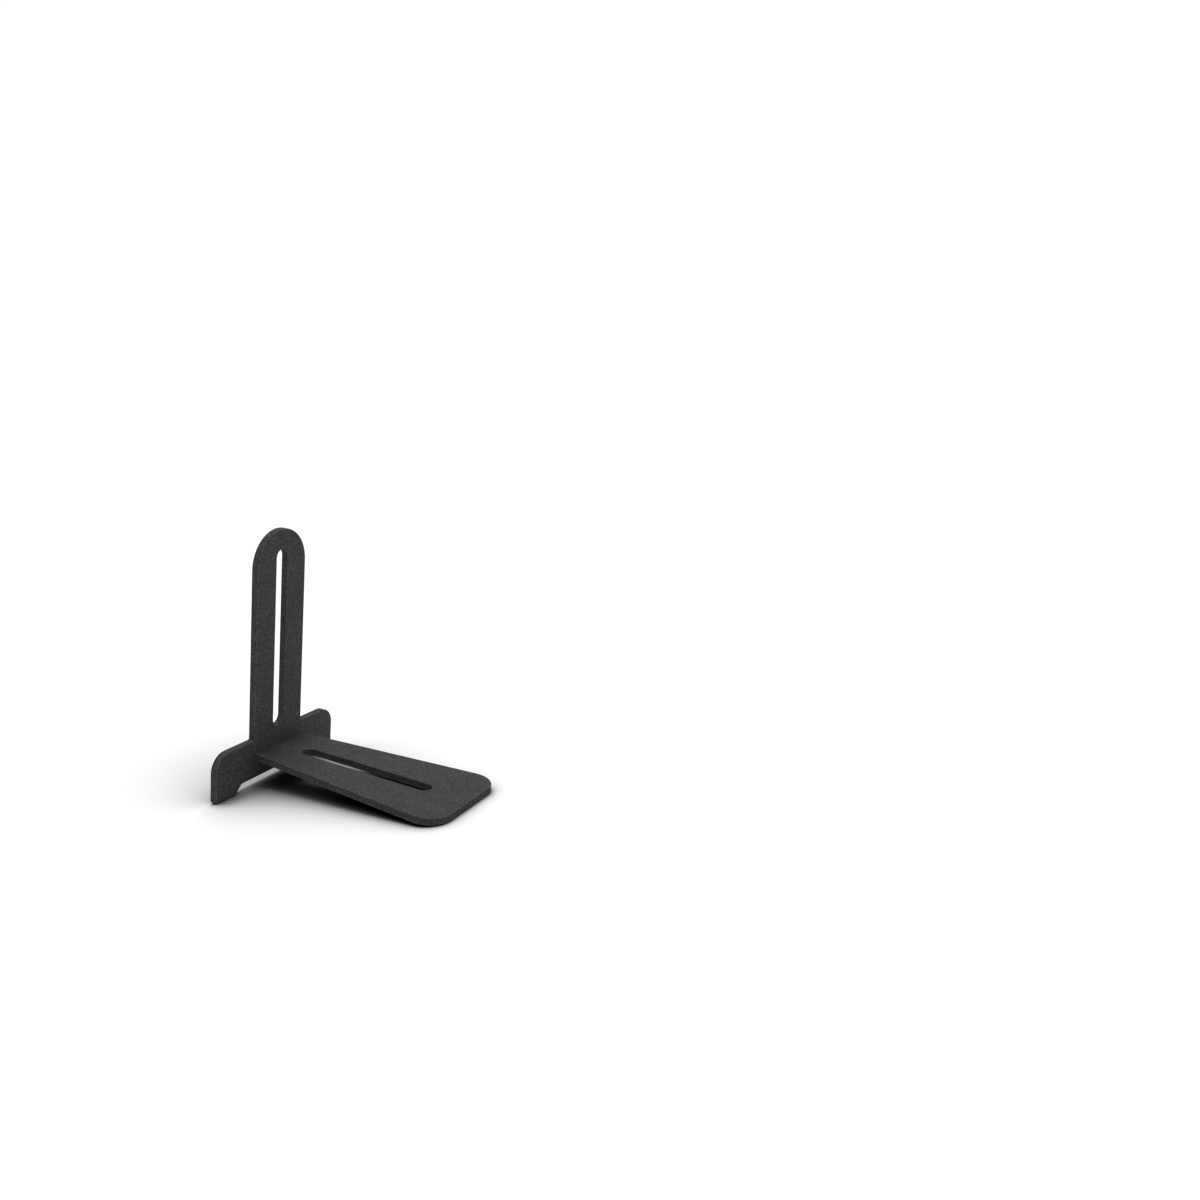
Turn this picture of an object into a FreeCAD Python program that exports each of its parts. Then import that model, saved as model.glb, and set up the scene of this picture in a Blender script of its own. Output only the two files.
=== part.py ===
import FreeCAD, Part
import math
import os
import re
import Sketcher
from FreeCAD import Placement, Rotation, Vector

# A free-standing floor rack of two boards. An upright board leans over a ramp board that is
# bolted to its foot, and each board has a long round-ended slot along its middle.
#
# Row frame: X across the rack, +Y towards the back of the upright, +Z up, origin on the floor
# under the middle of the whole rack. The ramp falls towards -Y, and left is -X.

# ---- sizes, in millimetres and degrees ----

DRIVING_SIZES = [
    # the boards
    ("boardThickness", 18, "both boards"),
    ("edgeRadius", 2, "round on the edges of the upright's front and the ramp's top"),
    ("edgeChamfer", 1, "on the edges of the upright's back and the ramp's underside"),
    ("lean", 5.66, "angle of the upright over the ramp"),
    ("uprightWidth", 180, "also the ramp's width where it meets the upright"),
    ("uprightHeight", 635, "along the board, from the floor to the crown"),
    ("footWidth", 450, "over both wings"),
    ("footHeight", 120, "along the board, from the floor to the wings' top"),
    ("wingCornerRadius", 45, "upper outer corners of the wings"),
    ("innerCornerRadius", 4, "where the wings meet the upright"),
    ("soleLength", 69, "each sole, at the back"),
    ("soleOuterRadius", 8, "outer end of a sole"),
    ("soleInnerRadius", 3, "inner end of a sole"),
    ("archHeight", 22, "arch between the soles, its sides at 45 degrees"),
    ("archCornerRadius", 8, "upper corners of the arch"),
    # the long slots
    ("wheelSlotWidth", 40, "both slots"),
    ("uprightSlotBottom", 135, "along the board, above the floor"),
    ("uprightSlotTopMargin", 50, "below the crown"),
    ("rampSlotRearMargin", 78, "from the upright's face"),
    ("rampSlotFrontMargin", 107, "from the ramp's front end"),
    # the ramp
    ("rampSlope", 7.1, "fall towards the front"),
    ("rampLength", 555, "along the slope"),
    ("rampFrontWidth", 310, "before its corners are rounded"),
    ("rampCornerRadius", 60, "front corners"),
    # the bolts, their cross dowels and the wooden dowels
    ("boltLength", 50, "under the head"),
    ("boltDiameter", 6, "shank"),
    ("boltHeadDiameter", 17, "flat head"),
    ("boltHeadThickness", 2.6, "flat head"),
    ("boltEdge", 0.8, "chamfer on the head and on the tip"),
    ("boltInset", 30, "from the upright's side to the bolt's axis"),
    ("boltClearance", 0.5, "radial, round the shank in the boards"),
    ("boltTipRoom", 2, "hole beyond the tip"),
    ("socketWidth", 4, "hexagon socket, across its flats"),
    ("socketDepth", 2, "hexagon socket"),
    ("counterboreDepth", 3, "round the head, in the upright's back"),
    ("counterboreClearance", 0.7, "radial, round the head"),
    ("nutDiameter", 10, "cross dowel"),
    ("nutCover", 3, "board left above the cross dowel, and its depth below the underside"),
    ("nutSideClearance", 0.25, "radial, round the cross dowel"),
    ("nutEndClearance", 0.3, "above the cross dowel"),
    ("nutBoreClearance", 0.1, "radial, round the shank in the cross dowel"),
    ("nutEdge", 0.5, "chamfer on the cross dowel's ends"),
    ("nutSlotWidth", 1.2, "screwdriver slot in the cross dowel's lower end"),
    ("nutSlotDepth", 1, "screwdriver slot"),
    ("dowelDiameter", 8, "wooden dowel"),
    ("dowelInset", 60, "from the upright's side to the dowel's axis"),
    ("dowelInUpright", 12, "length that stands in the upright"),
    ("dowelInRamp", 18, "length that stands in the ramp"),
    ("dowelEdge", 1, "chamfer on the dowel's ends"),
    ("dowelSideClearance", 0.05, "radial, round the dowel"),
    ("dowelEndClearance", 0.5, "at each end of the dowel"),
    # the rubber that the rack stands on
    ("solePadThickness", 2, "strip under a sole"),
    ("solePadWidth", 11, "strip under a sole"),
    ("solePadInset", 2, "from each end of the sole's flat"),
    ("bumperDiameter", 16, "tapered bumper, at its base"),
    ("bumperCrown", 11, "tapered bumper, across its flat end"),
    ("bumperHeight", 3.5, "tapered bumper"),
    ("bumperRim", 1, "straight side under the taper"),
    ("bumperFrontInset", 25, "from the ramp's front end to the bumper's axis"),
    ("bumperSideInset", 55, "from the ramp's widest line to the bumper's axis"),
]

# Each is a formula in the same sheet.
WORKED_OUT_SIZES = [
    ("crownCentre", "uprightHeight - uprightWidth / 2", "centre of the round top"),
    ("soleFront", "solePadThickness / cos(lean)", "sole's edge on the front face"),
    ("soleBack", "soleFront - boardThickness * tan(lean)", "sole's edge on the back face"),
    ("archFloorHalf", "footWidth / 2 - soleLength", "half of the arch at the sole's back"),
    ("archTopHalf", "archFloorHalf - (archHeight - soleBack)", "half of the arch at its top"),
    ("slotRadius", "wheelSlotWidth / 2", "round ends of the long slots"),
    ("rampTilt", "rampSlope - lean", "the ramp against a square joint"),
    ("mitreStock", "boardThickness / 3", "ramp's length beyond the joint before it is mitred"),
    ("rampTaper", "(rampFrontWidth - uprightWidth) / 2 / rampLength", "each side"),
    ("edgeLift", "bumperHeight * cos(rampSlope) + (bumperCrown / 2 - bumperFrontInset)"
        " * sin(rampSlope)", "ramp's front end, lower corner above the floor"),
    ("jointHeight", "(edgeLift + boardThickness * cos(rampSlope) + rampLength * sin(rampSlope))"
        " / cos(lean)", "ramp's top at the upright, measured along the upright's face"),
    ("boltDrop", "boardThickness / 2 / cos(rampTilt)", "bolts and dowels below the joint's top"),
    ("boltSide", "uprightWidth / 2 - boltInset", "bolt's axis from the middle"),
    ("dowelSide", "uprightWidth / 2 - dowelInset", "dowel's axis from the middle"),
    ("headSeat", "boardThickness - counterboreDepth", "under the head, behind the front face"),
    ("tipDepth", "boltLength - headSeat", "bolt's tip in the ramp"),
    ("nutDepth", "tipDepth - nutDiameter / 2", "cross dowel's axis in the ramp"),
    ("nutLength", "boardThickness - 2 * nutCover", "cross dowel"),
    ("solePadLength", "soleLength - soleInnerRadius - soleOuterRadius - 2 * solePadInset",
        "strip under a sole"),
    ("rackFront", "-jointHeight * sin(lean) - rampLength * cos(rampSlope)"
        " + edgeRadius * (cos(rampSlope) + sin(rampSlope) - 1)", "from the front face's foot"),
    ("rackBack", "boardThickness / cos(lean) - (soleFront + edgeChamfer) * sin(lean)",
        "from the same line"),
    ("faceFoot", "-(rackFront + rackBack) / 2", "where the front face would meet the floor"),
]

doc = FreeCAD.newDocument("FloorBikeRack")
sizes = doc.addObject("Spreadsheet::Sheet", "sizes")
aliases = [name for name, _, _ in DRIVING_SIZES + WORKED_OUT_SIZES]


def fillRow(row, name, content, note):
    sizes.set(f"A{row}", name)
    sizes.set(f"B{row}", content)
    sizes.set(f"C{row}", note)
    sizes.setAlias(f"B{row}", name)


for row, (name, value, note) in enumerate(DRIVING_SIZES, start=1):
    fillRow(row, name, str(value), note)
for row, (name, formula, note) in enumerate(WORKED_OUT_SIZES, start=len(DRIVING_SIZES) + 2):
    fillRow(row, name, f"={formula}", note)
doc.recompute()


def withSheet(formula):
    """The formula with the sheet's name before each alias."""
    return re.sub(r"[A-Za-z]+", lambda word: f"sizes.{word[0]}" if word[0] in aliases else word[0],
                  formula)


def bind(item, path, formula):
    item.setExpression(path, withSheet(formula))


def number(formula):
    result = sizes.evalExpression(withSheet(formula))
    return float(getattr(result, "Value", result))


# ---- sketches ----


def newBody(name):
    body = doc.addObject("PartDesign::Body", name)
    body.Label = name
    return body


def newSketch(body, name, role, offset="0", tilt="0"):
    """A sketch on an origin plane, moved along its normal and turned about its X axis."""
    sketch = body.newObject("Sketcher::SketchObject", name)
    plane = next(item for item in body.Origin.OriginFeatures if item.Role == role)
    sketch.AttachmentSupport = (plane, [""])
    sketch.MapMode = "FlatFace"
    sketch.AttachmentOffset = Placement(Vector(0, 0, number(offset)), Rotation(Vector(1, 0, 0), 1))
    bind(sketch, "AttachmentOffset.Base.z", offset)
    bind(sketch, "AttachmentOffset.Rotation.Angle", tilt)
    return sketch


def pin(sketch, element, point, axis, formula):
    """Dimensions a point from the sketch's origin along X or Y."""
    constraint = Sketcher.Constraint(f"Distance{axis}", -1, 1, element, point, number(formula))
    index = sketch.addConstraint(constraint)
    label = f"{axis.lower()}{element}point{point}"
    sketch.renameConstraint(index, label)
    bind(sketch, f"Constraints.{label}", formula)


def drawOutline(sketch, corners, arcs=None):
    """A closed, anticlockwise outline. arcs gives the centre of each side that is an arc, by the
    number of the corner where it starts."""
    arcs = arcs or {}
    points = [Vector(number(x), number(y), 0) for x, y in corners]
    first = sketch.GeometryCount
    for index, start in enumerate(points):
        end = points[(index + 1) % len(points)]
        if index in arcs:
            centre = Vector(number(arcs[index][0]), number(arcs[index][1]), 0)
            circle = Part.Circle(centre, Vector(0, 0, 1), start.distanceToPoint(centre))
            turns = [math.atan2(point.y - centre.y, point.x - centre.x) for point in (start, end)]
            sketch.addGeometry(Part.ArcOfCircle(circle, *turns))
        else:
            sketch.addGeometry(Part.LineSegment(start, end))
    for index, (x, y) in enumerate(corners):
        following = first + (index + 1) % len(corners)
        sketch.addConstraint(Sketcher.Constraint("Coincident", first + index, 2, following, 1))
        pin(sketch, first + index, 1, "X", x)
        pin(sketch, first + index, 1, "Y", y)
    for index, (x, y) in arcs.items():
        chord = points[(index + 1) % len(points)] - points[index]
        if abs(chord.x) > abs(chord.y):
            pin(sketch, first + index, 3, "Y", y)
        else:
            pin(sketch, first + index, 3, "X", x)


def drawCircle(sketch, x, y, diameter):
    centre = Vector(number(x), number(y), 0)
    element = sketch.addGeometry(Part.Circle(centre, Vector(0, 0, 1), number(diameter) / 2))
    label = f"diameter{element}"
    index = sketch.addConstraint(Sketcher.Constraint("Diameter", element, number(diameter)))
    sketch.renameConstraint(index, label)
    bind(sketch, f"Constraints.{label}", diameter)
    pin(sketch, element, 3, "X", x)
    pin(sketch, element, 3, "Y", y)


def drawPair(sketch, side, y, diameter):
    """Two circles, one on each side of the rack's middle."""
    drawCircle(sketch, f"-{side}", y, diameter)
    drawCircle(sketch, side, y, diameter)


def mirrored(corners):
    """The right half's corners, from the bottom up, followed by the left half's."""
    return corners + [(f"-({x})", y) for x, y in reversed(corners)]


def drawWheelSlot(sketch, bottom, top):
    lower = f"{bottom} + slotRadius"
    upper = f"{top} - slotRadius"
    drawOutline(sketch, mirrored([("slotRadius", lower), ("slotRadius", upper)]),
                arcs={1: ("0", upper), 3: ("0", lower)})


# ---- features ----


def pad(body, sketch, length, reversed=False):
    feature = body.newObject("PartDesign::Pad", f"{sketch.Name}Pad")
    feature.Profile = sketch
    feature.Reversed = reversed
    bind(feature, "Length", length)
    doc.recompute()
    return feature


def pocket(body, sketch, length=None, reversed=False, symmetric=False):
    """Cuts against the sketch's normal, or along it where reversed, and right through where no
    length is given."""
    before = body.Tip.Shape.Volume
    feature = body.newObject("PartDesign::Pocket", f"{sketch.Name}Pocket")
    feature.Profile = sketch
    feature.Reversed = reversed
    feature.Midplane = symmetric
    if length:
        bind(feature, "Length", length)
    else:
        feature.Type = "ThroughAll"
    doc.recompute()
    if feature.Shape.Volume > before - 1:
        raise RuntimeError(f"{feature.Name} cuts nothing")
    return feature


def dress(body, kind, name, sizeName, size, chosen):
    """A fillet or chamfer on the edges that chosen accepts."""
    base = body.Tip
    edges = [f"Edge{index}" for index, edge in enumerate(base.Shape.Edges, start=1) if chosen(edge)]
    if not edges:
        raise RuntimeError(f"{name} finds no edge")
    feature = body.newObject(f"PartDesign::{kind}", name)
    feature.Base = (base, edges)
    bind(feature, sizeName, size)
    doc.recompute()
    return feature


def roundCorners(body, name, radius, places):
    """Rounds the straight edges whose middles are at the places."""
    dress(body, "Fillet", name, "Radius", radius,
          lambda edge: any(edge.CenterOfMass.distanceToPoint(place) < 0.01 for place in places))


def edgePoints(edge):
    first, last = edge.ParameterRange
    return [edge.valueAt(first + (last - first) * share) for share in (0, 0.5, 1)]


def liesIn(edge, distance):
    """Whether the distance function is nought all along the edge."""
    return all(abs(distance(point)) < 0.001 for point in edgePoints(edge))


def chamferRims(body, name, size, diameter, distance):
    """Chamfers the circular rims of a diameter in the plane where distance is nought."""
    radius = number(diameter) / 2
    dress(body, "Chamfer", name, "Size", size,
          lambda edge: edge.Curve.TypeId == "Part::GeomCircle"
          and abs(edge.Curve.Radius - radius) < 0.001 and liesIn(edge, distance))


def standBody(body, x="0", y="0", z="0", turn="0"):
    """Places a body in the row frame, turned about X."""
    body.Placement = Placement(Vector(0, 0, 0), Rotation(Vector(1, 0, 0), 1))
    bind(body, "Placement.Base.x", x)
    bind(body, "Placement.Base.y", y)
    bind(body, "Placement.Base.z", z)
    bind(body, "Placement.Rotation.Angle", turn)


def standAtJoint(body):
    """The joint's frame: origin on the upright's front face at the top of the ramp, Y square to
    that face and into the upright, Z up along it."""
    standBody(body, y="faceFoot - jointHeight * sin(lean)", z="jointHeight * cos(lean)", turn="lean")


# ---- the upright board ----
# Its own frame has X and Z in the front face, and Z is nought where that face meets the floor.


def makeUprightBoard():
    body = newBody("upright_board")
    outline = newSketch(body, "uprightOutline", "XZ_Plane")
    drawOutline(outline, mirrored([
        ("archTopHalf", "archHeight"),
        ("archFloorHalf", "soleBack"),
        ("footWidth / 2", "soleBack"),
        ("footWidth / 2", "footHeight"),
        ("uprightWidth / 2", "footHeight"),
        ("uprightWidth / 2", "crownCentre"),
    ]), arcs={5: ("0", "crownCentre")})
    drawWheelSlot(outline, "uprightSlotBottom", "uprightHeight - uprightSlotTopMargin")
    pad(body, outline, "boardThickness", reversed=True)

    # The soles are planed level, so that the leaning board stands on their whole width.
    wedge = newSketch(body, "soleWedge", "YZ_Plane")
    drawOutline(wedge, [("0", "soleBack"), ("boardThickness", "soleBack"), ("0", "soleFront")])
    pocket(body, wedge, symmetric=True)

    middle = number("boardThickness / 2")
    soleMiddle = "(soleFront + soleBack) / 2"

    def corners(x, z):
        return [Vector(side * number(x), middle, number(z)) for side in (-1, 1)]

    roundCorners(body, "wingCorners", "wingCornerRadius", corners("footWidth / 2", "footHeight"))
    roundCorners(body, "innerCorners", "innerCornerRadius",
                 corners("uprightWidth / 2", "footHeight"))
    roundCorners(body, "soleOuterEnds", "soleOuterRadius", corners("footWidth / 2", soleMiddle))
    roundCorners(body, "soleInnerEnds", "soleInnerRadius",
                 corners(f"archFloorHalf - ({soleMiddle} - soleBack)", soleMiddle))
    roundCorners(body, "archCorners", "archCornerRadius", corners("archTopHalf", "archHeight"))
    thickness = number("boardThickness")
    dress(body, "Fillet", "frontEdges", "Radius", "edgeRadius",
          lambda edge: liesIn(edge, lambda point: point.y))
    dress(body, "Chamfer", "backEdges", "Size", "edgeChamfer",
          lambda edge: liesIn(edge, lambda point: point.y - thickness))

    boltHoles = newSketch(body, "boltHoleCentres", "XZ_Plane", offset="-boardThickness")
    drawPair(boltHoles, "boltSide", "jointHeight - boltDrop", "boltDiameter + 2 * boltClearance")
    hole = body.newObject("PartDesign::Hole", "boltHoles")
    hole.Profile = boltHoles
    hole.Reversed = True
    hole.DepthType = "ThroughAll"
    hole.HoleCutType = "Counterbore"
    hole.HoleCutCustomValues = True
    bind(hole, "Diameter", "boltDiameter + 2 * boltClearance")
    bind(hole, "HoleCutDiameter", "boltHeadDiameter + 2 * counterboreClearance")
    bind(hole, "HoleCutDepth", "counterboreDepth")
    doc.recompute()

    dowelHoles = newSketch(body, "uprightDowelHoles", "XZ_Plane")
    drawPair(dowelHoles, "dowelSide", "jointHeight - boltDrop",
             "dowelDiameter + 2 * dowelSideClearance")
    pocket(body, dowelHoles, "dowelInUpright + dowelEndClearance")
    standBody(body, y="faceFoot", turn="lean")
    return body


# ---- the ramp board ----
# In the joint's frame. Its outline is drawn on its own sloping top.


def makeRampBoard():
    body = newBody("ramp_board")
    outline = newSketch(body, "rampOutline", "XY_Plane", tilt="rampTilt")
    drawOutline(outline, mirrored([
        ("rampFrontWidth / 2", "-rampLength"),
        ("uprightWidth / 2 - rampTaper * mitreStock", "mitreStock"),
    ]))
    drawWheelSlot(outline, "-rampLength + rampSlotFrontMargin", "-rampSlotRearMargin")
    pad(body, outline, "boardThickness", reversed=True)

    # The rear end is mitred to lie flat on the leaning upright.
    mitre = newSketch(body, "rampMitre", "XZ_Plane")
    drawOutline(mitre, mirrored([("uprightWidth", "-3 * boardThickness"),
                                 ("uprightWidth", "boardThickness")]))
    pocket(body, mitre)

    slope = Placement(Vector(0, 0, 0), Rotation(Vector(1, 0, 0), number("rampTilt")))
    thickness = number("boardThickness")
    frontCorners = [slope.multVec(Vector(side * number("rampFrontWidth / 2"),
                                         -number("rampLength"), -thickness / 2)) for side in (-1, 1)]
    roundCorners(body, "rampFrontCorners", "rampCornerRadius", frontCorners)

    def aboveTop(point):
        return slope.inverse().multVec(point).z

    def easable(edge, distance):
        return liesIn(edge, distance) and not liesIn(edge, lambda point: point.y)

    dress(body, "Fillet", "topEdges", "Radius", "edgeRadius",
          lambda edge: easable(edge, aboveTop))
    dress(body, "Chamfer", "undersideEdges", "Size", "edgeChamfer",
          lambda edge: easable(edge, lambda point: aboveTop(point) + thickness))

    boltHoles = newSketch(body, "rampBoltHoles", "XZ_Plane")
    drawPair(boltHoles, "boltSide", "-boltDrop", "boltDiameter + 2 * boltClearance")
    pocket(body, boltHoles, "tipDepth + boltTipRoom", reversed=True)
    dowelHoles = newSketch(body, "rampDowelHoles", "XZ_Plane")
    drawPair(dowelHoles, "dowelSide", "-boltDrop", "dowelDiameter + 2 * dowelSideClearance")
    pocket(body, dowelHoles, "dowelInRamp + dowelEndClearance", reversed=True)

    # The cross dowels go in from the underside and stop short of the top.
    nutHoles = newSketch(body, "nutHoles", "XY_Plane",
                         offset="-boltDrop + nutLength / 2 + nutEndClearance")
    drawPair(nutHoles, "boltSide", "-nutDepth", "nutDiameter + 2 * nutSideClearance")
    pocket(body, nutHoles)
    standAtJoint(body)
    return body


# ---- what fastens the two boards, in the joint's frame ----


def makeConnectorBolts():
    body = newBody("connector_bolts")
    heads = newSketch(body, "boltHeads", "XZ_Plane", offset="-headSeat")
    drawPair(heads, "boltSide", "-boltDrop", "boltHeadDiameter")
    pad(body, heads, "boltHeadThickness", reversed=True)
    shanks = newSketch(body, "boltShanks", "XZ_Plane", offset="-headSeat")
    drawPair(shanks, "boltSide", "-boltDrop", "boltDiameter")
    pad(body, shanks, "boltLength")

    sockets = newSketch(body, "boltSockets", "XZ_Plane", offset="-(headSeat + boltHeadThickness)")
    for side in ("-boltSide", "boltSide"):
        drawOutline(sockets, [
            (f"{side} + socketWidth / sqrt(3)", "-boltDrop"),
            (f"{side} + socketWidth / 2 / sqrt(3)", "-boltDrop + socketWidth / 2"),
            (f"{side} - socketWidth / 2 / sqrt(3)", "-boltDrop + socketWidth / 2"),
            (f"{side} - socketWidth / sqrt(3)", "-boltDrop"),
            (f"{side} - socketWidth / 2 / sqrt(3)", "-boltDrop - socketWidth / 2"),
            (f"{side} + socketWidth / 2 / sqrt(3)", "-boltDrop - socketWidth / 2"),
        ])
    pocket(body, sockets, "socketDepth", reversed=True)
    headFace = number("headSeat + boltHeadThickness")
    tip = -number("tipDepth")
    chamferRims(body, "headRims", "boltEdge", "boltHeadDiameter", lambda point: point.y - headFace)
    chamferRims(body, "tipRims", "boltEdge", "boltDiameter", lambda point: point.y - tip)
    standAtJoint(body)
    return body


def makeBarrelNuts():
    body = newBody("barrel_nuts")
    rods = newSketch(body, "nutRods", "XY_Plane", offset="-boltDrop - nutLength / 2")
    drawPair(rods, "boltSide", "-nutDepth", "nutDiameter")
    pad(body, rods, "nutLength")
    bores = newSketch(body, "nutBores", "XZ_Plane")
    drawPair(bores, "boltSide", "-boltDrop", "boltDiameter + 2 * nutBoreClearance")
    pocket(body, bores, reversed=True)
    low = -number("boltDrop + nutLength / 2")
    high = -number("boltDrop - nutLength / 2")
    chamferRims(body, "nutRims", "nutEdge", "nutDiameter",
                lambda point: (point.z - low) * (point.z - high))

    slots = newSketch(body, "nutSlots", "XY_Plane", offset="-boltDrop - nutLength / 2")
    for side in ("-boltSide", "boltSide"):
        drawOutline(slots, [
            (f"{side} - nutSlotWidth / 2", "-nutDepth - nutDiameter"),
            (f"{side} + nutSlotWidth / 2", "-nutDepth - nutDiameter"),
            (f"{side} + nutSlotWidth / 2", "-nutDepth + nutDiameter"),
            (f"{side} - nutSlotWidth / 2", "-nutDepth + nutDiameter"),
        ])
    pocket(body, slots, "nutSlotDepth", reversed=True)
    standAtJoint(body)
    return body


def makeLocatingDowels():
    body = newBody("locating_dowels")
    rods = newSketch(body, "dowelRods", "XZ_Plane", offset="-dowelInUpright")
    drawPair(rods, "dowelSide", "-boltDrop", "dowelDiameter")
    pad(body, rods, "dowelInUpright + dowelInRamp")
    rear = number("dowelInUpright")
    front = -number("dowelInRamp")
    chamferRims(body, "dowelRims", "dowelEdge", "dowelDiameter",
                lambda point: (point.y - rear) * (point.y - front))
    standAtJoint(body)
    return body


# ---- the rubber that the rack stands on ----


def makeSolePad(name, side):
    """A strip with round ends under a sole's flat, its origin on the floor at its centre."""
    body = newBody(name)
    strip = newSketch(body, f"{name}Strip", "XY_Plane")
    straight = "(solePadLength - solePadWidth) / 2"
    drawOutline(strip, [
        (f"-{straight}", "-solePadWidth / 2"),
        (straight, "-solePadWidth / 2"),
        (straight, "solePadWidth / 2"),
        (f"-{straight}", "solePadWidth / 2"),
    ], arcs={1: (straight, "0"), 3: (f"-{straight}", "0")})
    pad(body, strip, "solePadThickness")
    inner = "archFloorHalf + soleInnerRadius + solePadInset"
    standBody(body, x=f"{side} * ({inner} + solePadLength / 2)",
              y="faceFoot - solePadThickness * tan(lean) + boardThickness / 2 / cos(lean)")
    return body


def makeFrontBumper(name, side):
    """A tapered stud under the ramp, its origin on the underside. It stands on its crown's rim."""
    body = newBody(name)
    profile = newSketch(body, f"{name}Profile", "XZ_Plane")
    drawOutline(profile, [
        ("0", "-bumperHeight"),
        ("bumperCrown / 2", "-bumperHeight"),
        ("bumperDiameter / 2", "-bumperRim"),
        ("bumperDiameter / 2", "0"),
        ("0", "0"),
    ])
    stud = body.newObject("PartDesign::Revolution", f"{name}Stud")
    stud.Profile = profile
    stud.ReferenceAxis = (profile, ["V_Axis"])
    stud.Angle = 360
    doc.recompute()
    along = "(rampLength - bumperFrontInset)"
    standBody(body, x=f"{side} * (rampFrontWidth / 2 - bumperSideInset)",
              y="faceFoot - jointHeight * sin(lean) + boardThickness * sin(rampSlope)"
                f" - {along} * cos(rampSlope)",
              z="jointHeight * cos(lean) - boardThickness * cos(rampSlope)"
                f" - {along} * sin(rampSlope)",
              turn="rampSlope")
    return body


# ---- the whole rack ----

bodies = [
    makeUprightBoard(),
    makeRampBoard(),
    makeConnectorBolts(),
    makeBarrelNuts(),
    makeLocatingDowels(),
]
for hand, side in (("left", -1), ("right", 1)):
    bodies.append(makeSolePad(f"{hand}_sole_pad", side))
    bodies.append(makeFrontBumper(f"{hand}_front_bumper", side))
doc.recompute()

for item in doc.Objects:
    if "Invalid" in item.State or "Error" in item.State:
        raise RuntimeError(f"{item.Name} failed: {item.State}")
for body in bodies:
    if body.Shape.isNull() or not body.Shape.isValid():
        raise RuntimeError(f"{body.Label} has no valid shape")

os.makedirs("parts", exist_ok=True)
for body in bodies:
    body.Shape.exportStep(f"parts/{body.Label}.step")
    print(f"{body.Label}: {len(body.Shape.Solids)} solids, {body.Shape.Volume / 1000:.2f} cm3")
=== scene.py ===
from math import cos, pi, radians, sin, sqrt

import bpy
from mathutils import Euler, Matrix, Vector


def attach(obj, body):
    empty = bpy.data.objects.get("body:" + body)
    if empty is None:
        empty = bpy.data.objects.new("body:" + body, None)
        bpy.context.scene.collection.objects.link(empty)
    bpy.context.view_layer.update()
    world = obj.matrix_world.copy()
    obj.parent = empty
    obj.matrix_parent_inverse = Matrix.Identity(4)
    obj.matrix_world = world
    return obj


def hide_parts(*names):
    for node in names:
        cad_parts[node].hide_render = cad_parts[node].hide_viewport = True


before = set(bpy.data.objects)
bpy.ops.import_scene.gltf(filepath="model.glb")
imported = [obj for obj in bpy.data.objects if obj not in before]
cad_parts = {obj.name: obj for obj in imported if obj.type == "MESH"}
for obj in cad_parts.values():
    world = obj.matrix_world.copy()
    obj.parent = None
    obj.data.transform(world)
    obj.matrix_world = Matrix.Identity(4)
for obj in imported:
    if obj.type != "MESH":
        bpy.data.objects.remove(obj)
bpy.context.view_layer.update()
millimetre = 0.001
smoothBelow = 35    # degrees between two faces
print("frame loaded")


def colourFromHex(code):
    channels = [int(code[place:place + 2], 16) / 255 for place in (1, 3, 5)]
    linear = [c / 12.92 if c <= 0.04045 else ((c + 0.055) / 1.055) ** 2.4 for c in channels]
    return (*linear, 1.0)


# inputs are values or other nodes' sockets, by the socket's name or number
def addNode(tree, kind, settings=None, inputs=None):
    node = tree.nodes.new(kind)
    for name, value in (settings or {}).items():
        setattr(node, name, value)
    for name, value in (inputs or {}).items():
        if isinstance(value, bpy.types.NodeSocket):
            tree.links.new(value, node.inputs[name])
        else:
            node.inputs[name].default_value = value
    return node


def newMaterial(name):
    material = bpy.data.materials.new(name)
    material.use_nodes = True
    material.node_tree.nodes.clear()
    return material, material.node_tree


def dress(nodeName, material):
    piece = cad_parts[nodeName]
    piece.data.materials.clear()
    piece.data.materials.append(material)


# Medium density fibre board, dyed right through, then sanded on its faces and routed on its edges,
# with no lacquer. To the eye it is a soft near-black grey with no shine, mottled and flecked with
# fibres. Its routed edges are coarser, with a more open core, and its eased corners are rubbed paler,
# a paleness that is also a painted highlight along them.
fibreBoard = {
    "body": "#28292a",
    "darkFibre": "#0e0f0f",
    "paleFibre": "#666768",
    "core": "#333435",
    # paler tone of the eased corners: rubbed wear, and a painted highlight along them
    "rubbedEdgeAndHighlight": "#56585a",
    "faceFlatness": (0.86, 0.99),  # share of the normal through the board where a face starts and is full
    "cutFlatness": (0.4, 0.1),     # and where a cut edge does
    "thickness": 18,         # mm
    "coreSpread": (0.2, 0.33),  # of the thickness, from the middle, where the open core ends
    "fleckSize": 2.8,        # mm; real fibres are a fifth of that, too fine to show
    "threadSize": 1.9,       # mm
    "mottleSize": 7,         # mm, where fibres gather
    "cloudSize": 60,         # mm, slow change of tone over a board
    "cloudDepth": 0.1,       # share by which clouds change the tone
    "sandingSpacing": 1.2,   # mm between sanding lines, drawn wider than they are
    "alongSanding": 0.02,    # how much slower the lines change along the board
    "cutterSpacing": 1.6,    # mm between the marks that the router leaves across an edge
    "alongCutter": 0.03,     # how much slower the marks change through the board
    "roughness": 0.66,
    "cutRoughness": 0.84,
    "specular": 0.15,
    "fibreDepth": 0.06,      # mm
    "cutterDepth": 0.05,     # mm
}


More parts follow.
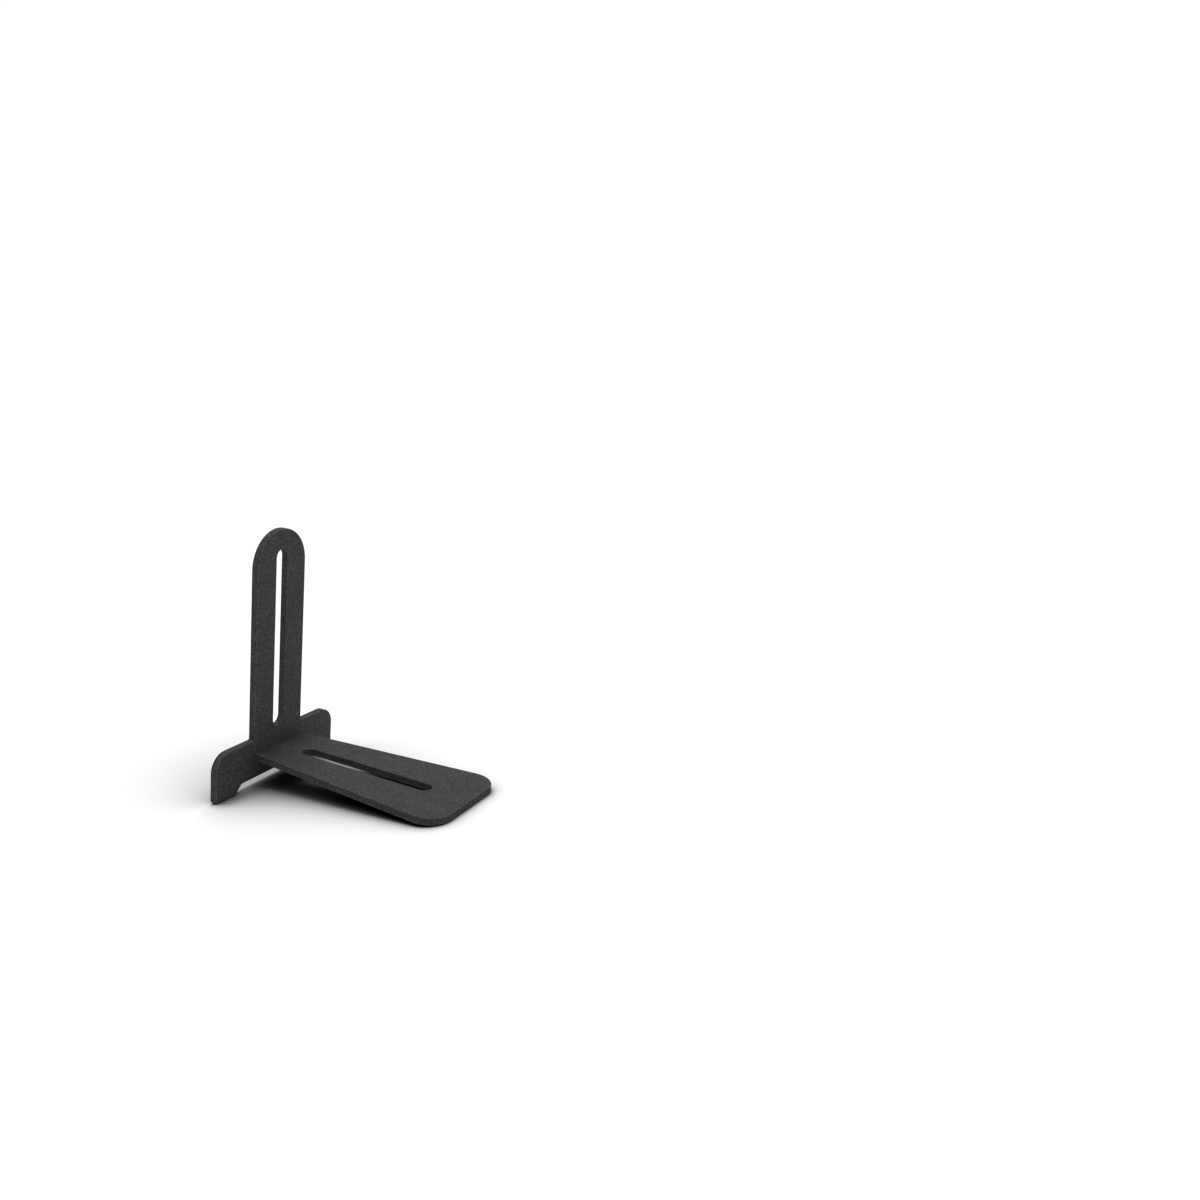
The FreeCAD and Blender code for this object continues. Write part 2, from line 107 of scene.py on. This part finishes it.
# in the board's own directions X is across it, Y through its thickness from the middle of it,
# and Z along it
def makeFibreBoard(name, middle, tilt):
    material, tree = newMaterial(name)
    place = addNode(tree, "ShaderNodeTexCoord").outputs["Object"]
    inBoard = addNode(tree, "ShaderNodeMapping", {"vector_type": "TEXTURE"}, {
        "Vector": place,
        "Location": middle,
        "Rotation": (radians(tilt), 0, 0),
    }).outputs[0]
    boardPlace = addNode(tree, "ShaderNodeSeparateXYZ", {}, {0: inBoard})
    normal = addNode(tree, "ShaderNodeNewGeometry").outputs["Normal"]
    boardNormal = addNode(tree, "ShaderNodeMapping", {"vector_type": "TEXTURE"}, {
        "Vector": normal,
        "Rotation": (radians(tilt), 0, 0),
    }).outputs[0]
    through = addNode(tree, "ShaderNodeSeparateXYZ", {}, {0: boardNormal}).outputs["Y"]
    flatness = addNode(tree, "ShaderNodeMath", {"operation": "ABSOLUTE"}, {0: through}).outputs[0]

    # the faces are flat, the cut edges stand square to them, and the eased corners lie between
    face = addNode(tree, "ShaderNodeMapRange", {}, {
        "Value": flatness,
        "From Min": fibreBoard["faceFlatness"][0],
        "From Max": fibreBoard["faceFlatness"][1],
    }).outputs[0]
    cut = addNode(tree, "ShaderNodeMapRange", {}, {
        "Value": flatness,
        "From Min": fibreBoard["cutFlatness"][1],
        "From Max": fibreBoard["cutFlatness"][0],
        "To Min": 1,
        "To Max": 0,
    }).outputs[0]
    faceOrCut = addNode(tree, "ShaderNodeMath", {"operation": "MAXIMUM"}, {0: face, 1: cut}).outputs[0]
    corner = addNode(tree, "ShaderNodeMath", {"operation": "SUBTRACT"}, {0: 1, 1: faceOrCut}).outputs[0]

    flecks = addNode(tree, "ShaderNodeTexNoise", {}, {
        "Vector": inBoard,
        "Scale": 1 / (fibreBoard["fleckSize"] * millimetre),
        "Detail": 2,
        "Roughness": 0.6,
    }).outputs[0]
    mottles = addNode(tree, "ShaderNodeTexNoise", {}, {
        "Vector": inBoard,
        "Scale": 1 / (fibreBoard["mottleSize"] * millimetre),
        "Detail": 3,
        "Roughness": 0.6,
    }).outputs[0]
    clouds = addNode(tree, "ShaderNodeTexNoise", {}, {
        "Vector": inBoard,
        "Scale": 1 / (fibreBoard["cloudSize"] * millimetre),
        "Detail": 3,
    }).outputs[0]

    # a warped noise gives short curly threads that lie at all angles
    threads = addNode(tree, "ShaderNodeTexNoise", {}, {
        "Vector": inBoard,
        "Scale": 1 / (fibreBoard["threadSize"] * millimetre),
        "Detail": 2,
        "Distortion": 1.6,
    }).outputs[0]

    darkShare = addNode(tree, "ShaderNodeMapRange", {}, {
        "Value": flecks, "From Min": 0.52, "From Max": 0.34, "To Max": 0.95}).outputs[0]
    paleShare = addNode(tree, "ShaderNodeMapRange", {}, {
        "Value": threads, "From Min": 0.5, "From Max": 0.7, "To Max": 0.8}).outputs[0]
    coreEdge = addNode(tree, "ShaderNodeMath", {"operation": "ABSOLUTE"}, {
        0: boardPlace.outputs["Y"]}).outputs[0]
    coreShare = addNode(tree, "ShaderNodeMapRange", {"interpolation_type": "SMOOTHSTEP"}, {
        "Value": coreEdge,
        "From Min": fibreBoard["coreSpread"][1] * fibreBoard["thickness"] * millimetre,
        "From Max": fibreBoard["coreSpread"][0] * fibreBoard["thickness"] * millimetre,
    }).outputs[0]
    openCore = addNode(tree, "ShaderNodeMath", {"operation": "MULTIPLY"}, {0: coreShare, 1: cut}).outputs[0]

    tone = addNode(tree, "ShaderNodeMix", {"data_type": "RGBA"}, {
        0: openCore,
        6: colourFromHex(fibreBoard["body"]),
        7: colourFromHex(fibreBoard["core"]),
    }).outputs[2]
    tone = addNode(tree, "ShaderNodeMix", {"data_type": "RGBA"}, {
        0: darkShare, 6: tone, 7: colourFromHex(fibreBoard["darkFibre"])}).outputs[2]
    tone = addNode(tree, "ShaderNodeMix", {"data_type": "RGBA"}, {
        0: paleShare, 6: tone, 7: colourFromHex(fibreBoard["paleFibre"])}).outputs[2]

    # corners are rubbed paler in patches, where hands and shoes pass, and the paler tone is also a painted
    # highlight on the eased edges
    patches = addNode(tree, "ShaderNodeMapRange", {}, {
        "Value": mottles, "From Min": 0.4, "From Max": 0.62, "To Min": 0.1, "To Max": 0.75}).outputs[0]
    rubAndHighlight = addNode(tree, "ShaderNodeMath", {"operation": "MULTIPLY"}, {0: corner, 1: patches}).outputs[0]
    tone = addNode(tree, "ShaderNodeMix", {"data_type": "RGBA"}, {
        0: rubAndHighlight, 6: tone, 7: colourFromHex(fibreBoard["rubbedEdgeAndHighlight"])}).outputs[2]

    mottleTone = addNode(tree, "ShaderNodeMapRange", {}, {
        "Value": mottles, "From Min": 0.3, "From Max": 0.7, "To Min": 0.82, "To Max": 1.18}).outputs[0]
    cloudTone = addNode(tree, "ShaderNodeMapRange", {}, {
        "Value": clouds,
        "From Min": 0.3,
        "From Max": 0.7,
        "To Min": 1 - fibreBoard["cloudDepth"],
        "To Max": 1 + fibreBoard["cloudDepth"],
    }).outputs[0]
    shade = addNode(tree, "ShaderNodeMath", {"operation": "MULTIPLY"}, {
        0: mottleTone, 1: cloudTone}).outputs[0]
    tone = addNode(tree, "ShaderNodeVectorMath", {"operation": "SCALE"}, {
        0: tone, "Scale": shade}).outputs[0]

    # sanding lines run along the faces, cutter marks cross the edges
    sandingPlace = addNode(tree, "ShaderNodeMapping", {}, {
        "Vector": inBoard, "Scale": (1, 1, fibreBoard["alongSanding"])}).outputs[0]
    sanding = addNode(tree, "ShaderNodeTexNoise", {}, {
        "Vector": sandingPlace, "Scale": 1 / (fibreBoard["sandingSpacing"] * millimetre)}).outputs[0]
    cutterPlace = addNode(tree, "ShaderNodeMapping", {}, {
        "Vector": inBoard, "Scale": (1, fibreBoard["alongCutter"], 1)}).outputs[0]
    cutter = addNode(tree, "ShaderNodeTexNoise", {}, {
        "Vector": cutterPlace, "Scale": 1 / (fibreBoard["cutterSpacing"] * millimetre)}).outputs[0]
    sandingHeight = addNode(tree, "ShaderNodeMath", {"operation": "MULTIPLY"}, {
        0: sanding, 1: face}).outputs[0]
    fibreHeight = addNode(tree, "ShaderNodeMath", {"operation": "MULTIPLY_ADD"}, {
        0: threads, 1: 0.6, 2: flecks}).outputs[0]
    faceHeight = addNode(tree, "ShaderNodeMath", {"operation": "MULTIPLY_ADD"}, {
        0: sandingHeight, 1: 0.4, 2: fibreHeight}).outputs[0]
    fibreBump = addNode(tree, "ShaderNodeBump", {}, {
        "Strength": 0.7,
        "Distance": fibreBoard["fibreDepth"] * millimetre,
        "Height": faceHeight,
    }).outputs[0]
    cutterHeight = addNode(tree, "ShaderNodeMath", {"operation": "MULTIPLY"}, {0: cutter, 1: cut}).outputs[0]
    edgeBump = addNode(tree, "ShaderNodeBump", {}, {
        "Strength": 0.8,
        "Distance": fibreBoard["cutterDepth"] * millimetre,
        "Height": cutterHeight,
        "Normal": fibreBump,
    }).outputs[0]

    meanRoughness = addNode(tree, "ShaderNodeMapRange", {}, {
        "Value": cut, "To Min": fibreBoard["roughness"], "To Max": fibreBoard["cutRoughness"]}).outputs[0]
    gathering = addNode(tree, "ShaderNodeMath", {"operation": "SUBTRACT"}, {0: mottles, 1: 0.5}).outputs[0]
    roughness = addNode(tree, "ShaderNodeMath", {"operation": "MULTIPLY_ADD"}, {
        0: gathering, 1: -0.3, 2: meanRoughness}).outputs[0]
    shader = addNode(tree, "ShaderNodeBsdfPrincipled", {}, {
        "Base Color": tone,
        "Roughness": roughness,
        "Specular IOR Level": fibreBoard["specular"],
        "Normal": edgeBump,
    })
    addNode(tree, "ShaderNodeOutputMaterial", {}, {"Surface": shader.outputs[0]})
    return material


# degrees and metres, as the two boards stand in the frame; bolts and dowels lie square to the upright
boards = {
    "uprightTilt": 5.66,
    "uprightMiddle": (0, 0.2797, 0),
    "rampTilt": 7.1 - 90,
    "rampMiddle": (0, -0.01, 0.0365),
}
uprightFinish = makeFibreBoard("uprightFibreBoard", boards["uprightMiddle"], boards["uprightTilt"])
rampFinish = makeFibreBoard("rampFibreBoard", boards["rampMiddle"], boards["rampTilt"])
dress("upright_board", uprightFinish)
dress("ramp_board", rampFinish)
print("boards finished")


# Zinc plated steel, turned and then plated in a barrel. To the eye it is a bright blue-grey metal with
# faint straw and blue patches, dulled a little where pieces knocked together. Painted shade darkens
# the sockets, the bores and the roots of the threads.
zincPlate = {
    "blueZinc": "#9aa3ab",
    "strawZinc": "#a8a596",
    "patchSize": 6,          # mm
    "knockSize": 0.8,        # mm
    "turningSpacing": 0.5,   # mm between tool marks, drawn wider than they are
    "roundTurning": 0.05,    # how much slower the marks change round the piece
    # the dark tone of the painted shade in the recesses, not a colour of the metal
    "paintedRecessShade": "#1d1b18",
    "recess": 2.5,           # mm across which a recess is darkened with painted shade
    "recessSamples": 8,
    "roughness": (0.24, 0.44),
    "depth": 0.02,           # mm
}


def makeZincPlate():
    material, tree = newMaterial("barrelPlatedZincSteel")
    place = addNode(tree, "ShaderNodeTexCoord").outputs["Object"]
    patches = addNode(tree, "ShaderNodeTexNoise", {}, {
        "Vector": place, "Scale": 1 / (zincPlate["patchSize"] * millimetre), "Detail": 3}).outputs[0]
    knocks = addNode(tree, "ShaderNodeTexNoise", {}, {
        "Vector": place, "Scale": 1 / (zincPlate["knockSize"] * millimetre), "Detail": 2}).outputs[0]
    patchShare = addNode(tree, "ShaderNodeMapRange", {}, {
        "Value": patches, "From Min": 0.38, "From Max": 0.62}).outputs[0]
    tone = addNode(tree, "ShaderNodeMix", {"data_type": "RGBA"}, {
        0: patchShare,
        6: colourFromHex(zincPlate["blueZinc"]),
        7: colourFromHex(zincPlate["strawZinc"]),
    }).outputs[2]
    roughness = addNode(tree, "ShaderNodeMapRange", {}, {
        "Value": knocks,
        "From Min": 0.3,
        "From Max": 0.7,
        "To Min": zincPlate["roughness"][0],
        "To Max": zincPlate["roughness"][1],
    }).outputs[0]
    turningPlace = addNode(tree, "ShaderNodeMapping", {}, {
        "Vector": place,
        "Scale": (zincPlate["roundTurning"], 1, zincPlate["roundTurning"]),
    }).outputs[0]
    turning = addNode(tree, "ShaderNodeTexNoise", {}, {
        "Vector": turningPlace, "Scale": 1 / (zincPlate["turningSpacing"] * millimetre)}).outputs[0]
    height = addNode(tree, "ShaderNodeMath", {"operation": "ADD"}, {0: turning, 1: knocks}).outputs[0]
    bump = addNode(tree, "ShaderNodeBump", {}, {
        "Strength": 0.5, "Distance": zincPlate["depth"] * millimetre, "Height": height}).outputs[0]
    # painted shade: where the short occlusion finds a recess, the tone is mixed towards the dark painted
    # shade
    openness = addNode(tree, "ShaderNodeAmbientOcclusion", {
        "samples": zincPlate["recessSamples"],
        "only_local": True,
    }, {"Distance": zincPlate["recess"] * millimetre}).outputs["AO"]
    paintedShadeShare = addNode(tree, "ShaderNodeMapRange", {}, {
        "Value": openness, "From Min": 0.8, "From Max": 0.45}).outputs[0]
    tone = addNode(tree, "ShaderNodeMix", {"data_type": "RGBA"}, {
        0: paintedShadeShare, 6: tone, 7: colourFromHex(zincPlate["paintedRecessShade"])}).outputs[2]
    shader = addNode(tree, "ShaderNodeBsdfPrincipled", {}, {
        "Base Color": tone, "Metallic": 1.0, "Roughness": roughness, "Normal": bump})
    addNode(tree, "ShaderNodeOutputMaterial", {}, {"Surface": shader.outputs[0]})
    return material


# Beech, turned into rod and cut to length. To the eye it is a pale pinkish tan with fine lines along
# the grain and short darker flecks, which are its rays.
beechRod = {
    "paleWood": "#d0a67c",
    "darkWood": "#b5845a",
    "ray": "#8e5f3c",
    "grainWidth": 0.9,       # mm
    "rayWidth": 0.45,        # mm
    "alongGrain": 0.06,      # how much slower the grain changes along the rod
    "alongRay": 0.2,         # and how much slower the rays do
    "depth": 0.04,           # mm
}


def makeBeechRod():
    material, tree = newMaterial("turnedBeechRod")
    place = addNode(tree, "ShaderNodeTexCoord").outputs["Object"]
    inRod = addNode(tree, "ShaderNodeMapping", {"vector_type": "TEXTURE"}, {
        "Vector": place, "Rotation": (radians(boards["uprightTilt"]), 0, 0)}).outputs[0]
    grainPlace = addNode(tree, "ShaderNodeMapping", {}, {
        "Vector": inRod, "Scale": (1, beechRod["alongGrain"], 1)}).outputs[0]
    rayPlace = addNode(tree, "ShaderNodeMapping", {}, {
        "Vector": inRod, "Scale": (1, beechRod["alongRay"], 1)}).outputs[0]
    grain = addNode(tree, "ShaderNodeTexNoise", {}, {
        "Vector": grainPlace, "Scale": 1 / (beechRod["grainWidth"] * millimetre), "Detail": 3}).outputs[0]
    rays = addNode(tree, "ShaderNodeTexNoise", {}, {
        "Vector": rayPlace, "Scale": 1 / (beechRod["rayWidth"] * millimetre)}).outputs[0]
    grainShare = addNode(tree, "ShaderNodeMapRange", {}, {
        "Value": grain, "From Min": 0.36, "From Max": 0.64}).outputs[0]
    rayShare = addNode(tree, "ShaderNodeMapRange", {}, {
        "Value": rays, "From Min": 0.6, "From Max": 0.72, "To Max": 0.8}).outputs[0]
    tone = addNode(tree, "ShaderNodeMix", {"data_type": "RGBA"}, {
        0: grainShare,
        6: colourFromHex(beechRod["paleWood"]),
        7: colourFromHex(beechRod["darkWood"]),
    }).outputs[2]
    tone = addNode(tree, "ShaderNodeMix", {"data_type": "RGBA"}, {
        0: rayShare, 6: tone, 7: colourFromHex(beechRod["ray"])}).outputs[2]
    roughness = addNode(tree, "ShaderNodeMapRange", {}, {
        "Value": grain, "From Min": 0.3, "From Max": 0.7, "To Min": 0.52, "To Max": 0.66}).outputs[0]
    bump = addNode(tree, "ShaderNodeBump", {}, {
        "Strength": 0.6, "Distance": beechRod["depth"] * millimetre, "Height": grain}).outputs[0]
    shader = addNode(tree, "ShaderNodeBsdfPrincipled", {}, {
        "Base Color": tone, "Roughness": roughness, "Normal": bump})
    addNode(tree, "ShaderNodeOutputMaterial", {}, {"Surface": shader.outputs[0]})
    return material


# Natural rubber, moulded in a grained mould. To the eye it is a dull black with a fine pebbled skin
# and a thin grey bloom in patches, where dust has stuck.
mouldedRubber = {
    "rubber": "#222223",
    "bloom": "#434241",
    "grainSize": 0.9,        # mm
    "bloomSize": 11,         # mm
    "roughness": (0.7, 0.88),
    "depth": 0.05,           # mm
}


def makeMouldedRubber():
    material, tree = newMaterial("mouldedBlackRubber")
    place = addNode(tree, "ShaderNodeTexCoord").outputs["Object"]
    grain = addNode(tree, "ShaderNodeTexVoronoi", {"feature": "SMOOTH_F1"}, {
        "Vector": place, "Scale": 1 / (mouldedRubber["grainSize"] * millimetre)}).outputs["Distance"]
    bloom = addNode(tree, "ShaderNodeTexNoise", {}, {
        "Vector": place, "Scale": 1 / (mouldedRubber["bloomSize"] * millimetre), "Detail": 4}).outputs[0]
    bloomShare = addNode(tree, "ShaderNodeMapRange", {}, {
        "Value": bloom, "From Min": 0.46, "From Max": 0.7, "To Max": 0.7}).outputs[0]
    tone = addNode(tree, "ShaderNodeMix", {"data_type": "RGBA"}, {
        0: bloomShare,
        6: colourFromHex(mouldedRubber["rubber"]),
        7: colourFromHex(mouldedRubber["bloom"]),
    }).outputs[2]
    roughness = addNode(tree, "ShaderNodeMapRange", {}, {
        "Value": bloom,
        "From Min": 0.35,
        "From Max": 0.65,
        "To Min": mouldedRubber["roughness"][0],
        "To Max": mouldedRubber["roughness"][1],
    }).outputs[0]
    bump = addNode(tree, "ShaderNodeBump", {}, {
        "Strength": 0.6, "Distance": mouldedRubber["depth"] * millimetre, "Height": grain}).outputs[0]
    shader = addNode(tree, "ShaderNodeBsdfPrincipled", {}, {
        "Base Color": tone, "Roughness": roughness, "Normal": bump})
    addNode(tree, "ShaderNodeOutputMaterial", {}, {"Surface": shader.outputs[0]})
    return material


zinc = makeZincPlate()
rubber = makeMouldedRubber()
dress("barrel_nuts", zinc)
for hand in ("left", "right"):
    dress(f"{hand}_sole_pad", rubber)
    dress(f"{hand}_front_bumper", rubber)
print("cross dowels and rubber finished")


# the lowest and highest corners of a node, in directions that are tilted with it
def tiltedBox(nodeName, tilt):
    turn = Matrix.Rotation(-radians(tilt), 3, "X")
    places = [turn @ vertex.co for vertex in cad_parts[nodeName].data.vertices]
    low = Vector([min(place[axis] for place in places) for axis in range(3)])
    high = Vector([max(place[axis] for place in places) for axis in range(3)])
    return low, high


# a rod turned about Z, in millimetres: its radius at the origin, and then each ring's height and radius
def turnRod(sides, radius, rings):
    bpy.ops.object.select_all(action="DESELECT")
    bpy.ops.mesh.primitive_circle_add(
        vertices=sides, radius=radius * millimetre, fill_type="NGON", location=(0, 0, 0))
    piece = bpy.context.object
    bpy.ops.object.mode_set(mode="EDIT")
    bpy.ops.mesh.select_all(action="SELECT")
    height = 0
    for ringHeight, ringRadius in rings:
        rise = (0, 0, (ringHeight - height) * millimetre)
        bpy.ops.mesh.extrude_region_move(TRANSFORM_OT_translate={"value": rise})
        bpy.ops.transform.resize(value=(ringRadius / radius, ringRadius / radius, 1))
        height = ringHeight
        radius = ringRadius
    bpy.ops.mesh.select_all(action="SELECT")
    bpy.ops.mesh.normals_make_consistent(inside=False)
    bpy.ops.object.mode_set(mode="OBJECT")
    return piece


# the cutter goes, and the cut piece is shaded smooth but for its edges
def cutAway(piece, cutter):
    bpy.ops.object.select_all(action="DESELECT")
    bpy.context.view_layer.objects.active = piece
    piece.select_set(True)
    bpy.ops.object.modifier_add(type="BOOLEAN")
    piece.modifiers[0].operation = "DIFFERENCE"
    piece.modifiers[0].object = cutter
    bpy.ops.object.modifier_apply(modifier=piece.modifiers[0].name)
    bpy.ops.object.shade_smooth_by_angle(angle=radians(smoothBelow))
    bpy.ops.object.select_all(action="DESELECT")
    cutter.select_set(True)
    bpy.ops.object.delete()


# a piece that is built with its axis up is laid at the left end of its node, and copied to the right
def layPair(make, nodeName, name, material):
    tilt = boards["uprightTilt"]
    low, high = tiltedBox(nodeName, tilt)
    radius = (high.z - low.z) / 2
    laid = Matrix.Rotation(radians(tilt), 3, "X")
    left = make((high.y - low.y) / millimetre, radius / millimetre)
    left.rotation_euler = (radians(tilt - 90), 0, 0)
    left.location = laid @ Vector((low.x + radius, low.y, (low.z + high.z) / 2))
    bpy.ops.object.select_all(action="DESELECT")
    left.select_set(True)
    bpy.context.view_layer.objects.active = left
    bpy.ops.object.duplicate()
    right = bpy.context.object
    right.location.x = high.x - radius
    left.select_set(True)
    bpy.context.view_layer.objects.active = left
    bpy.ops.object.transform_apply(location=True, rotation=True, scale=True)
    bpy.ops.object.join()
    left.name = name
    left.data.materials.clear()
    left.data.materials.append(material)
    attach(left, "root")
    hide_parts(nodeName)


# The two bolts with the thread that the frame leaves plain. It is built as rings, since the turn of
# a thread this fine does not show.
bolt = {
    "sides": 32,
    "shank": 3,              # mm, radius, as the next two
    "threadRoot": 2.45,
    "tip": 2.2,
    "edge": 0.8,             # mm, chamfer on the head and on the tip
    "pitch": 1,              # mm from thread to thread
    "flank": 0.35,           # of the pitch, each side of a thread
    "crest": 0.15,           # and its flat top
    "threads": 34,
    "headThickness": 2.6,    # mm
    "socketWidth": 4,        # mm across the flats
    "socketDepth": 2,        # mm
}


def makeBolt(length, headRadius):
    seat = length - bolt["headThickness"]
    crestStart = bolt["flank"]
    crestEnd = bolt["flank"] + bolt["crest"]
    rings = [(bolt["edge"], bolt["threadRoot"])]
    for thread in range(bolt["threads"]):
        foot = bolt["edge"] + thread * bolt["pitch"]
        rings.append((foot + crestStart * bolt["pitch"], bolt["shank"]))
        rings.append((foot + crestEnd * bolt["pitch"], bolt["shank"]))
        rings.append((foot + (crestEnd + bolt["flank"]) * bolt["pitch"], bolt["threadRoot"]))
        rings.append((foot + bolt["pitch"], bolt["threadRoot"]))
    shankStart = bolt["edge"] + (bolt["threads"] + 0.5) * bolt["pitch"]
    rings.append((shankStart, bolt["shank"]))
    rings.append((seat, bolt["shank"]))
    rings.append((seat, headRadius))
    rings.append((length - bolt["edge"], headRadius))
    rings.append((length, headRadius - bolt["edge"]))
    piece = turnRod(bolt["sides"], bolt["tip"], rings)

    # the hexagon socket, with two of its corners to the sides
    bpy.ops.object.select_all(action="DESELECT")
    bpy.ops.mesh.primitive_cylinder_add(
        vertices=6,
        radius=bolt["socketWidth"] / sqrt(3) * millimetre,
        depth=2 * bolt["socketDepth"] * millimetre,
        location=(0, 0, length * millimetre),
        rotation=(0, 0, radians(30)),
    )
    cutAway(piece, bpy.context.object)
    return piece


layPair(makeBolt, "connector_bolts", "threaded_bolts", zinc)
print("bolts finished")


# The two wooden dowels with the pressed flutes that let glue and air past.
dowel = {
    "sides": 48,
    "edge": 0.8,             # mm, chamfer on both ends
    "flutes": 12,
    "fluteWidth": 0.9,       # mm
    "fluteSides": 8,
    "cutterLength": 1.2,     # of the dowel
}


def makeDowel(length, radius):
    endRadius = radius - dowel["edge"]
    rings = [(dowel["edge"], radius), (length - dowel["edge"], radius), (length, endRadius)]
    piece = turnRod(dowel["sides"], endRadius, rings)

    # one cutter is copied round the dowel
    bpy.ops.object.select_all(action="DESELECT")
    bpy.ops.mesh.primitive_cylinder_add(
        vertices=dowel["fluteSides"],
        radius=dowel["fluteWidth"] / 2 * millimetre,
        depth=dowel["cutterLength"] * length * millimetre,
    )
    cutters = [bpy.context.object]
    for flute in range(1, dowel["flutes"]):
        bpy.ops.object.duplicate()
        cutters.append(bpy.context.object)
    for flute, cutter in enumerate(cutters):
        turn = 2 * pi * (flute + 0.5) / dowel["flutes"]
        outward = Vector((radius * cos(turn), radius * sin(turn), length / 2))
        cutter.location = outward * millimetre
        cutter.rotation_euler = (0, 0, turn + pi / dowel["fluteSides"])
    bpy.ops.object.select_all(action="DESELECT")
    for cutter in cutters:
        cutter.select_set(True)
    bpy.context.view_layer.objects.active = cutters[0]
    bpy.ops.object.join()
    cutAway(piece, bpy.context.object)
    return piece


layPair(makeDowel, "locating_dowels", "fluted_dowels", makeBeechRod())
print("dowels finished")


studio = {
    "floorSize": 60,           # metres
    "floorBounce": 0.8,        # the floor's brightness as the rack's surfaces see it
    "floorShown": 1.0,         # and as the camera sees it, white where nothing shades it
    "paintedShadeReach": 0.5,       # metres over which a painted shade darkens the floor towards the rack
    "paintedShadeSamples": 16,
    "paintedShadeDark": 0.16,       # the open share of the sky over the floor where the painted shade is black
    "paintedShadeClear": 1.0,       # and where it is clear
    "paintedShadeDepth": 1.3,       # power of the change between them
    "skyStrength": 0.5,
    "sunColour": "#fcfdff",
}


# 1 for rays that show the floor and the backdrop, also in a mirror or through glass, and 0 for light
def addSeen(tree):
    rays = addNode(tree, "ShaderNodeLightPath").outputs
    seenThrough = addNode(tree, "ShaderNodeMath", {"operation": "MAXIMUM"}, {
        0: rays["Is Glossy Ray"], 1: rays["Is Transmission Ray"]}).outputs[0]
    return addNode(tree, "ShaderNodeMath", {"operation": "MAXIMUM"}, {
        0: rays["Is Camera Ray"], 1: seenThrough}).outputs[0]


bpy.ops.object.select_all(action="DESELECT")
bpy.ops.mesh.primitive_plane_add(size=studio["floorSize"], location=(0, 0, 0))
floor = bpy.context.object
floor.name = "studioFloor"

# light falls on an even floor, and where the floor is seen a painted shade darkens it towards the rack
floorMaterial, tree = newMaterial("studioFloor")
seen = addSeen(tree)
reach = addNode(tree, "ShaderNodeMath", {"operation": "MULTIPLY"}, {
    0: seen, 1: studio["paintedShadeReach"]}).outputs[0]
# painted shadow on the floor, from its openness near the rack, for the rays that show the floor
openness = addNode(tree, "ShaderNodeAmbientOcclusion", {"samples": studio["paintedShadeSamples"]}, {
    "Distance": reach}).outputs["AO"]
clearness = addNode(tree, "ShaderNodeMapRange", {}, {
    "Value": openness,
    "From Min": studio["paintedShadeDark"],
    "From Max": studio["paintedShadeClear"],
}).outputs[0]
paintedContactShade = addNode(tree, "ShaderNodeMath", {"operation": "POWER"}, {
    0: clearness, 1: studio["paintedShadeDepth"]}).outputs[0]
shown = addNode(tree, "ShaderNodeMath", {"operation": "MULTIPLY"}, {
    0: paintedContactShade, 1: studio["floorShown"]}).outputs[0]
floorTone = addNode(tree, "ShaderNodeMix", {"data_type": "FLOAT"}, {
    0: seen, 2: studio["floorBounce"], 3: shown}).outputs[0]
diffuse = addNode(tree, "ShaderNodeBsdfDiffuse", {}, {"Color": floorTone})
addNode(tree, "ShaderNodeOutputMaterial", {}, {"Surface": diffuse.outputs[0]})
floor.data.materials.append(floorMaterial)

world = bpy.data.worlds.new("studioLight")
bpy.context.scene.world = world
world.use_nodes = True
tree = world.node_tree
tree.nodes.clear()
strength = addNode(tree, "ShaderNodeMapRange", {}, {
    "Value": addSeen(tree), "To Min": studio["skyStrength"], "To Max": 1.0}).outputs[0]
sky = addNode(tree, "ShaderNodeBackground", {}, {"Color": (1, 1, 1, 1), "Strength": strength})
addNode(tree, "ShaderNodeOutputWorld", {}, {"Surface": sky.outputs[0]})

# a ceiling of soft boxes almost overhead, and a weak one low in front of the rack; width is the
# angle across a light in degrees, for soft shadows
lights = {
    "softOverhead": {"from": (0.04, 0.08, 1), "strength": 1.66, "width": 30},
    "softFront": {"from": (-0.25, -1, 0.4), "strength": 0.55, "width": 70},
}
for name, light in lights.items():
    bpy.ops.object.light_add(type="SUN", location=light["from"])
    sun = bpy.context.object
    sun.name = name
    sun.data.energy = light["strength"]
    sun.data.color = colourFromHex(studio["sunColour"])[:3]
    sun.data.angle = radians(light["width"])
    sun.rotation_euler = Vector(light["from"]).to_track_quat("Z", "Y").to_euler()

# worked out from the photograph's perspective, in the frame of the rack
view = {
    "place": (-2.3277, -1.6365, 1.0829),
    "azimuth": -66.4231,
    "elevation": 12.2913,
    "lens": 36.2954,          # mm
    "sensor": 36,             # mm
    "clipEnd": 200,           # metres
}
bpy.ops.object.camera_add(location=view["place"])
camera = bpy.context.object
camera.name = "photoCamera"
camera.rotation_euler = Euler((radians(90 - view["elevation"]), 0, radians(view["azimuth"])))
camera.data.lens = view["lens"]
camera.data.sensor_width = view["sensor"]
camera.data.clip_end = view["clipEnd"]
bpy.context.scene.camera = camera
bpy.context.scene.view_settings.view_transform = "Standard"
print("studio set")
